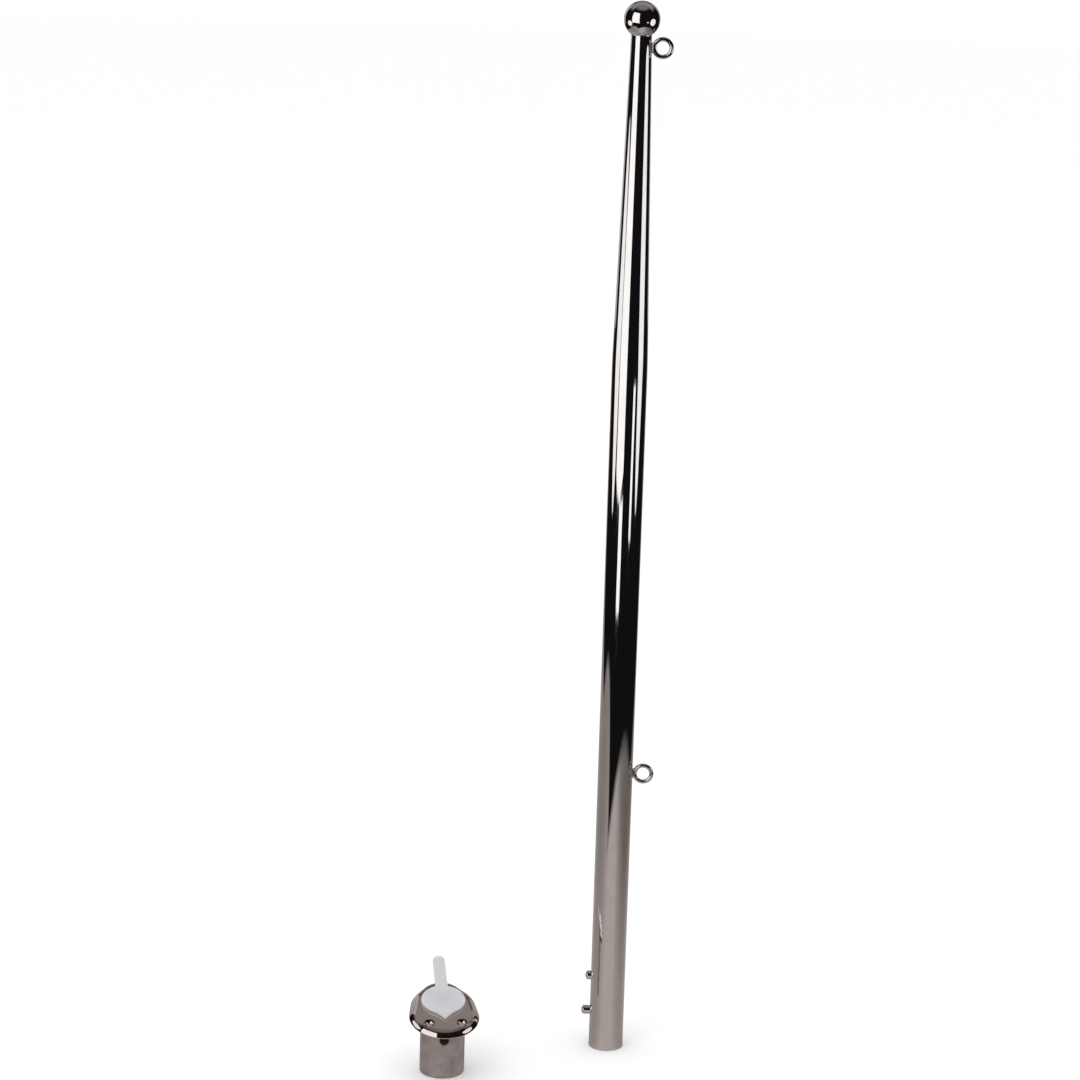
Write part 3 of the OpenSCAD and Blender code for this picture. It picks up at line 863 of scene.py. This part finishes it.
def socket_shell(socket):
    """The socket: flange, outer wall with its cast fillet, bore, lock hole, ledge and drain."""
    shell = Shell()
    band = np.roll(outline(socket), HOLE_STEPS // 2, axis=0)
    mouth_a, under_a = flange_grids(shell, socket, band)
    bore_r = socket.bore_d / 2
    outer_r, foot, seat = bore_r + socket.wall, FOOT_EDGE, SEAT_EDGE
    fall = CAST_FILLET / math.cos(socket.tilt)
    outer, block = upright_wall(socket, outer_r, foot, socket.lock_hole_d / 2 + LOCK_EDGE,
                                under_a, -socket.flange_t - fall, 12)
    fillet = []
    for t in np.radians(np.linspace(15, 90, 6)):
        r = outer_r + CAST_FILLET * (1 - math.cos(t))
        n = -socket.flange_t - fall * (1 - math.sin(t))
        y = r * np.sin(under_a)
        fillet.append(np.stack([r * np.cos(under_a), y, plane_z(socket, y, n)], -1))
    outer = np.concatenate([outer, fillet])
    inner, _ = upright_wall(socket, bore_r, socket.ledge_t + seat, socket.lock_hole_d / 2, mouth_a,
                            -MOUTH_EDGE, 12)
    y = (bore_r + MOUTH_EDGE) * np.sin(mouth_a)
    lip = np.stack([(bore_r + MOUTH_EDGE) * np.cos(mouth_a), y, plane_z(socket, y, 0)], -1)
    inner = np.concatenate([inner, lip[None]])
    for wall in (outer, inner):
        drop = block_cells((len(wall) - 1, len(band)), block)
        shell.grid(socket_place(socket, wall), drop=drop, finish=1)
    side = hole_side(block_loop(outer, block), block_loop(inner, block), socket.lock_hole_z,
                     socket.lock_hole_d / 2, LOCK_EDGE, FRONT)
    shell.grid(socket_place(socket, side), finish=1)
    drain = socket.drain_d / 2
    profile = np.concatenate([
        arc((outer_r - foot, foot), foot, 0, -90, 6),
        line((drain + DRAIN_EDGE, 0), (drain, DRAIN_EDGE), (drain, socket.ledge_t - DRAIN_EDGE),
             (drain + DRAIN_EDGE, socket.ledge_t)),
        arc((bore_r - seat, socket.ledge_t + seat), seat, -90, 0, 4)])
    out_a = np.arctan2(outer[0, :, 1], outer[0, :, 0])
    in_a = np.arctan2(inner[0, :, 1], inner[0, :, 0])
    in_a = out_a + np.angle(np.exp(1j * (in_a - out_a)))
    share = np.linspace(0, 1, len(profile))[:, None]
    a = (1 - share) * out_a + share * in_a
    r, z = profile[:, 0, None], profile[:, 1, None]
    shell.grid(socket_place(socket, np.stack([r * np.cos(a), r * np.sin(a), z + 0 * a], -1)),
               finish=1)
    return shell


# ---- the cap ----

def lip_reach(cap, off):
    """The cap's outline at an angle off its front: tip circle, hollow side, then the disc.

    The hollow side is a circle that touches both the disc and the tip circle from outside.
    """
    disc, tip, flare = cap.disc_d / 2, cap.lip_tip, cap.lip_flare
    tip_v = disc + cap.lip_out - tip
    flare_v = ((disc + flare) ** 2 - (tip + flare) ** 2 + tip_v ** 2) / (2 * tip_v)
    flare_u = math.sqrt((disc + flare) ** 2 - flare_v ** 2)
    k = tip / (tip + flare)
    tip_edge = math.atan2(k * flare_u, tip_v + k * (flare_v - tip_v))
    disc_edge = math.atan2(flare_u, flare_v)
    off = np.abs(off)
    on_tip = tip_v * np.cos(off) + np.sqrt(np.maximum(tip ** 2 - (tip_v * np.sin(off)) ** 2, 0))
    lean_off = off - disc_edge
    on_side = (disc + flare) * np.cos(lean_off) - np.sqrt(
        np.maximum(flare ** 2 - ((disc + flare) * np.sin(lean_off)) ** 2, 0))
    return np.where(off < tip_edge, on_tip, np.where(off < disc_edge, on_side, disc)), \
        tip_edge, disc_edge


def disc_grid(cap, socket):
    """The cap's disc and lip: flat below, a rounded edge, and a top that slopes down the lip."""
    _, tip_edge, disc_edge = lip_reach(cap, 0)
    half = ladder((0, tip_edge, 8), (tip_edge, disc_edge, 26), (disc_edge, math.pi, 96))
    off = np.concatenate([half, -half[1:-1][::-1]])
    reach = lip_reach(cap, off)[0]
    out = smooth((reach - cap.disc_d / 2) / cap.lip_out)
    high = cap.disc_t + out * (cap.strap_t + 0.1 - cap.disc_t)
    edge = cap.edge + out * (0.5 - cap.edge)
    flat = 0 * reach
    rows = [(flat, flat), (reach - 3, flat), (reach - CAP_FOOT, flat),
            (reach - 0.3 * CAP_FOOT, flat + 0.3 * CAP_FOOT), (reach, flat + CAP_FOOT)]
    for t in np.radians(np.linspace(0, 90, 9)):
        rows.append((reach - edge * (1 - math.cos(t)), high - edge * (1 - math.sin(t))))
    for s in ladder((0, 0.35, 8), (0.35, 1, 8))[1:]:
        rows.append(((reach - edge) * (1 - s),
                     high + (cap.disc_t - high) * smooth(s / 0.35) - CAP_DISH * smooth(s)))
    r, h = np.stack([a for a, _ in rows]), np.stack([b for _, b in rows])
    plane = np.stack([r * np.cos(off + FRONT), r * np.sin(off + FRONT)], -1)
    return socket_place(socket, lean(socket, plane, cap.gap + h))


def strap_grid(cap, socket):
    """The strap: a flat band with round ends and rounded edges, bent up along a large circle.

    Its nodes lie at (spine point plus outward way times the distance out, height); beyond the
    flat stretch a node at distance y and height h turns to the angle whose sine is
    (y - bend) / (curve - h).
    """
    half, thick, edge = cap.strap_w / 2, cap.strap_t, STRAP_EDGE
    root, tip = cap.disc_d / 2 - 4, cap.disc_d / 2 + cap.strap_l - half
    up = np.linspace(root, tip, 90)
    turn = np.linspace(0, math.pi, 33)
    spine = np.concatenate([up, 0 * turn[1:-1] + tip, up[::-1], 0 * turn[1:-1] + root])
    way = np.concatenate([0 * up, turn[1:-1], 0 * up + math.pi, turn[1:-1] + math.pi])
    rows = [(0, 0), (half - edge, 0)]
    rows += [(half - edge * (1 - math.cos(t)), edge * (1 - math.sin(t)))
             for t in np.radians([60, 30, 0])]
    rows += [(half - edge * (1 - math.cos(t)), thick - edge * (1 - math.sin(t)))
             for t in np.radians([0, 20, 45, 70, 90])]
    rows += [(d, thick) for d in np.linspace(half - edge, 0, 14)[1:]]
    out, h = np.array(rows)[:, :1], np.array(rows)[:, 1:]
    x, y = out * np.cos(way), spine + out * np.sin(way)
    h = h + 0 * x
    pit = np.hypot(x, y - (tip + 1.2))
    h = np.where(h > thick - 0.01, h - PIT_DEEP * np.exp(-(pit / PIT_WIDE) ** 2), h)
    bend = cap.disc_d / 2 + cap.strap_flat
    sweep = np.arcsin(np.clip((y - bend) / (cap.strap_curve - h), 0, 1))
    rise = cap.strap_curve - (cap.strap_curve - h) * np.cos(sweep)
    return socket_place(socket, lean(socket, np.stack([x, y], -1), cap.gap + rise))


def plug_grid(cap, socket):
    """The hollow upright plug, from its open lower end up into the disc."""
    r, wall, edge = cap.plug_d / 2, cap.plug_wall, 0.3
    low, a = socket.mouth_z - cap.plug_l, circle(144)
    rows = [(r, low + edge), (r, None), (r - wall, None), (r - wall, low + edge),
            (r - wall + edge, low), (r - edge, low), (r, low + edge)]
    grid = []
    for radius, z in rows:
        y = radius * np.sin(a)
        z = plane_z(socket, y, cap.gap + cap.disc_t / 2) if z is None else 0 * a + z
        grid.append(np.stack([radius * np.cos(a), y, z], -1))
    return socket_place(socket, np.stack(grid))


# ---- the operators ----

class BuildTube(bpy.types.Operator):
    """Builds the pole's tube with its two button holes."""
    bl_idname = "flagpole.build_tube"
    bl_label = "Pole tube"
    bl_options = {"REGISTER", "UNDO"}

    def execute(self, context):
        finish = context.scene.flagpole_finish
        shell = tube_shell(sizes(context, "flagpole_pole"), sizes(context, "flagpole_latch"))
        shell.build("Pole_tube", "pole_and_socket", "polished_steel",
                    [polished_steel("Tube_steel", tuple(finish.steel), 0.035)], ["pole_tube"])
        return {"FINISHED"}


class BuildBall(bpy.types.Operator):
    """Builds the ball on top of the tube."""
    bl_idname = "flagpole.build_ball"
    bl_label = "Ball"
    bl_options = {"REGISTER", "UNDO"}

    def execute(self, context):
        finish = context.scene.flagpole_finish
        shell = Shell()
        shell.grid(revolve(ball_profile(sizes(context, "flagpole_pole")), circle(176)))
        shell.build("Ball_finial", "pole_and_socket", "polished_steel",
                    [polished_steel("Ball_steel", tuple(finish.steel), 0.03, (1, 1, 1))],
                    ["ball_finial"])
        return {"FINISHED"}


class BuildEyes(bpy.types.Operator):
    """Builds the two eyes welded to the tube."""
    bl_idname = "flagpole.build_eyes"
    bl_label = "Eyes"
    bl_options = {"REGISTER", "UNDO"}

    def execute(self, context):
        finish = context.scene.flagpole_finish
        pole = sizes(context, "flagpole_pole")
        steel = polished_steel("Eye_steel", tuple(finish.steel), 0.05, (1, 1, 1))
        for name, node, z in (("Lower_eye", "lower_eye", pole.eye_low),
                              ("Upper_eye", "upper_eye", pole.tube_h - pole.eye_drop)):
            shell = Shell()
            grid = eye_grid(pole, z)
            shell.grid(np.concatenate([grid, grid[:1]]))
            shell.build(name, "pole_and_socket", "polished_steel", [steel], [node])
        return {"FINISHED"}


class BuildLatch(bpy.types.Operator):
    """Builds the bent spring strip, its sprung leg and the two buttons."""
    bl_idname = "flagpole.build_latch"
    bl_label = "Spring latch"
    bl_options = {"REGISTER", "UNDO"}

    def execute(self, context):
        finish = context.scene.flagpole_finish
        pole, latch = sizes(context, "flagpole_pole"), sizes(context, "flagpole_latch")
        strip = rolled_strip("Spring_strip", tuple(finish.spring))
        steel = polished_steel("Button_steel", tuple(finish.steel), 0.06, (1, 1, 1))
        release_out = latch.lock_out * (latch.bend_z - latch.release_z) / (
            latch.bend_z - latch.lock_z)
        for name, node, body, slot, finish_, grid in (
                ("Clip_spring", "clip_spring", "pole_and_socket", "spring_steel", strip,
                 bend_grid(pole, latch)),
                ("Clip_leg", "clip_leg", "latch", "spring_steel", strip, leg_grid(pole, latch)),
                ("Lock_button", "lock_button", "latch", "polished_steel", steel,
                 button_grid(pole, latch, latch.lock_z, latch.lock_out)),
                ("Release_button", "release_button", "latch", "polished_steel", steel,
                 button_grid(pole, latch, latch.release_z, release_out))):
            shell = Shell()
            shell.grid(grid)
            shell.build(name, body, slot, [finish_], [node])
        return {"FINISHED"}


class BuildSocket(bpy.types.Operator):
    """Builds the deck socket with its leaning flange."""
    bl_idname = "flagpole.build_socket"
    bl_label = "Deck socket"
    bl_options = {"REGISTER", "UNDO"}

    def execute(self, context):
        finish = context.scene.flagpole_finish
        shell = socket_shell(sizes(context, "flagpole_socket"))
        shell.build("Socket", "pole_and_socket", "cast_steel",
                    [polished_steel("Flange_steel", tuple(finish.flange), 0.06, (1, 1, 1)),
                     cast_steel("Cast_steel", tuple(finish.cast))], ["socket"])
        return {"FINISHED"}


class BuildCap(bpy.types.Operator):
    """Builds the socket's plastic cap: disc and lip, strap and plug."""
    bl_idname = "flagpole.build_cap"
    bl_label = "Cap"
    bl_options = {"REGISTER", "UNDO"}

    def execute(self, context):
        finish = context.scene.flagpole_finish
        cap, socket = sizes(context, "flagpole_cap"), sizes(context, "flagpole_socket")
        shell = Shell()
        for grid in (disc_grid(cap, socket), strap_grid(cap, socket), plug_grid(cap, socket)):
            shell.grid(grid)
        # the middle of the cap's painted shade over its hollow
        middle = socket_place(socket, lean(socket, np.zeros(2), np.array(cap.disc_t)))
        shell.build("Cap", "socket_cap", "cap_plastic",
                    [milky_plastic("Cap_plastic", tuple(finish.cap), tuple(middle * MM),
                                   cap.disc_d / 2 * MM)], ["cap"], sharp=40)
        return {"FINISHED"}


# ---- the stage ----

def window(tree, value, low, high, soft):
    """1 between low and high and 0 outside, with soft edges."""
    up, down = (add(tree, "MapRange", ("Value", value), ("From Min", edge - ease),
                    ("From Max", edge + ease), interpolation_type="SMOOTHSTEP").outputs[0]
                for edge, ease in ((low, soft), (high, -soft)))
    return both(tree, "MULTIPLY", up, down)


def pool(tree, place, centre, radius):
    """1 within the radius of a point and 0 outside, with a soft edge."""
    away = add(tree, "VectorMath", (0, place), (1, centre), operation="DISTANCE").outputs["Value"]
    return span(tree, away, radius - 0.04, radius + 0.04, 1, 0)


def room(world):
    """The studio's room: pale to the eye, soft white for the light, and dim in reflections.

    In reflections it is near black in front and grey behind the object and overhead.
    """
    world.use_nodes = True
    tree = world.node_tree
    tree.nodes.clear()
    way = add(tree, "SeparateXYZ", (0, tree.nodes.new("ShaderNodeTexCoord").outputs["Generated"]))
    back = span(tree, way.outputs["Y"], 0.76, 0.95, 0, 1)
    high = span(tree, way.outputs["Z"], 0.55, 0.75, 0, 1)
    behind = span(tree, way.outputs["Y"], -0.1, 0.2, 0, 1)
    slant = both(tree, "MULTIPLY", high, behind)
    over = span(tree, way.outputs["Z"], 0.8, 0.95, 0, 0.7)
    dim = both(tree, "MAXIMUM", both(tree, "MAXIMUM", back, slant), over)
    glimpse = mix(tree, dim, (0.006, 0.006, 0.007), (0.30, 0.28, 0.27))
    path = tree.nodes.new("ShaderNodeLightPath").outputs
    first = mix(tree, path["Is Glossy Ray"], ROOM_LIGHT, glimpse)
    lit = add(tree, "Background", ("Color", first), ("Strength", 1.0))
    out = tree.nodes.new("ShaderNodeOutputWorld")
    tree.links.new(lit.outputs[0], out.inputs["Surface"])


def floor_finish(colour):
    """A plain pale floor, of which reflections show only the near part, as a dimmed painted
    reflection.

    That painted reflection glows in two round pools beside the object and a broad band behind it.
    It is painted darker to the sides.
    """
    material, tree, shader, place = blank("Pale_floor")
    grain = spread(tree, place, 40, 3.0)
    tree.links.new(mix(tree, grain, colour, darker(colour, 0.985)), shader.inputs["Base Color"])
    shader.inputs["Roughness"].default_value = 0.9
    shader.inputs["Specular IOR Level"].default_value = 0.1
    spot = add(tree, "SeparateXYZ", (0, place)).outputs
    # mask of the floor's painted reflection: a band behind the object and two pools beside it
    behind = both(tree, "MULTIPLY", span(tree, spot["Y"], -0.03, 0.05, 0, 1),
                  window(tree, spot["X"], -0.87, 0.6, 0.05))
    painted_reflection_beside = both(tree, "MAXIMUM", pool(tree, place, (-0.62, -0.12, 0), 0.44),
                  pool(tree, place, (0.2, -0.12, 0), 0.54))
    near = both(tree, "MAXIMUM", painted_reflection_beside, behind)
    way = add(tree, "VectorMath", (0, place), operation="NORMALIZE").outputs[0]
    aside = add(tree, "Math", (0, add(tree, "SeparateXYZ", (0, way)).outputs["X"]),
                operation="ABSOLUTE").outputs[0]
    # painted shade of the floor's reflection, darker to the sides
    fade = both(tree, "MULTIPLY", span(tree, spot["X"], -0.5, -0.12, 0.37, 0.47),
                span(tree, spot["X"], 0.1, 0.45, 1, 0.5))
    fade = both(tree, "MULTIPLY", fade, span(tree, aside, 0.45, 1, 1, 0.68))
    # painted reflection: the floor glows for reflected rays only, though it is no lamp
    painted_floor_glow = add(tree, "Emission", ("Color", (1.0, 0.91, 0.87, 1)), ("Strength", fade))
    clear = add(tree, "BsdfTransparent", ("Color", (1, 1, 1, 1)))
    painted_reflection_or_clear = add(tree, "MixShader", (0, near), (1, clear.outputs[0]), (2, painted_floor_glow.outputs[0]))
    path = tree.nodes.new("ShaderNodeLightPath").outputs
    whole = add(tree, "MixShader", (0, path["Is Glossy Ray"]), (1, shader.outputs[0]),
                (2, painted_reflection_or_clear.outputs[0]))
    tree.links.new(whole.outputs[0], tree.nodes["Material Output"].inputs["Surface"])
    return material


def lamp(name, shape, azimuth, distance, low, high, width, strength):
    """An upright area light that faces the pole and shows only in reflections."""
    light = bpy.data.lights.new(name, "AREA")
    light.shape, light.size, light.size_y = shape, width, high - low
    area = width * (high - low) * (math.pi / 4 if shape == "ELLIPSE" else 1)
    light.energy = strength * math.pi * area
    a = math.radians(azimuth)
    spot = (math.sin(a) * distance, -math.cos(a) * distance, (low + high) / 2)
    made = bpy.data.objects.new(name, light)
    made.matrix_world = Matrix.Translation(spot) @ Matrix.Rotation(a, 4, "Z") \
        @ Matrix.Rotation(math.pi / 2, 4, "X")
    bpy.context.scene.collection.objects.link(made)
    made.visible_camera = made.visible_diffuse = False


class BuildStage(bpy.types.Operator):
    """Builds the pale floor, the soft studio light and the camera."""
    bl_idname = "flagpole.build_stage"
    bl_label = "Stage"
    bl_options = {"REGISTER", "UNDO"}

    def execute(self, context):
        scene = context.scene
        finish, studio = scene.flagpole_finish, scene.flagpole_studio
        scene.view_settings.view_transform = "Standard"
        scene.world = bpy.data.worlds.new("Studio")
        room(scene.world)
        a = circle(96)
        mesh = bpy.data.meshes.new("Floor")
        mesh.from_pydata((FLOOR_R * np.stack([np.cos(a), np.sin(a), 0 * a], -1)).tolist(), [],
                         [list(range(len(a)))])
        mesh.materials.append(floor_finish(tuple(finish.floor)))
        floor = bpy.data.objects.new("Floor", mesh)
        scene.collection.objects.link(floor)
        for spec in LAMPS:
            lamp(*spec)
        key = bpy.data.lights.new("Key", "AREA")
        key.shape, key.size, key.energy = "DISK", KEY_WIDE, studio.key
        made = bpy.data.objects.new("Key", key)
        made.matrix_world = Matrix.Translation(KEY_AT) @ Matrix.Rotation(
            math.atan2(-KEY_AT[0], KEY_AT[1]) + math.pi, 4, "Z") @ Matrix.Rotation(KEY_TIP, 4, "X")
        scene.collection.objects.link(made)
        made.visible_camera = made.visible_glossy = False
        camera = bpy.data.cameras.new("Camera")
        camera.lens, camera.sensor_width = studio.lens, 36
        view = bpy.data.objects.new("Camera", camera)
        look = Matrix.Rotation(math.pi / 2 - studio.tilt, 4, "X")
        view.matrix_world = Matrix.Translation((0, -studio.distance, studio.height)) \
            @ Matrix.Rotation(-studio.pan, 4, "Z") @ look @ Matrix.Rotation(studio.roll, 4, "Z")
        scene.collection.objects.link(view)
        scene.camera = view
        return {"FINISHED"}


class FLAGPOLE_PT_panel(bpy.types.Panel):
    """Lists the flagpole's operators and settings in the sidebar."""
    bl_label = "Flagpole and socket"
    bl_space_type = "VIEW_3D"
    bl_region_type = "UI"
    bl_category = "Flagpole"

    def draw(self, context):
        for operator in OPERATORS:
            self.layout.operator(operator.bl_idname)
        for group in GROUPS:
            box = self.layout.box()
            settings = getattr(context.scene, group)
            for key in settings.bl_rna.properties.keys():
                if key not in ("rna_type", "name"):
                    box.prop(settings, key)


OPERATORS = (BuildTube, BuildBall, BuildEyes, BuildLatch, BuildSocket, BuildCap, BuildStage)


def register():
    for group in GROUPS.values():
        bpy.utils.register_class(group)
    for name, group in GROUPS.items():
        setattr(bpy.types.Scene, name, PointerProperty(type=group))
    for operator in OPERATORS:
        bpy.utils.register_class(operator)
    bpy.utils.register_class(FLAGPOLE_PT_panel)


def unregister():
    bpy.utils.unregister_class(FLAGPOLE_PT_panel)
    for operator in reversed(OPERATORS):
        bpy.utils.unregister_class(operator)
    for name, group in GROUPS.items():
        delattr(bpy.types.Scene, name)
        bpy.utils.unregister_class(group)


def main():
    register()
    bpy.ops.flagpole.build_tube()
    bpy.ops.flagpole.build_ball()
    bpy.ops.flagpole.build_eyes()
    bpy.ops.flagpole.build_latch()
    bpy.ops.flagpole.build_socket()
    bpy.ops.flagpole.build_cap()
    bpy.ops.flagpole.build_stage()


if __name__ == "__main__":
    main()
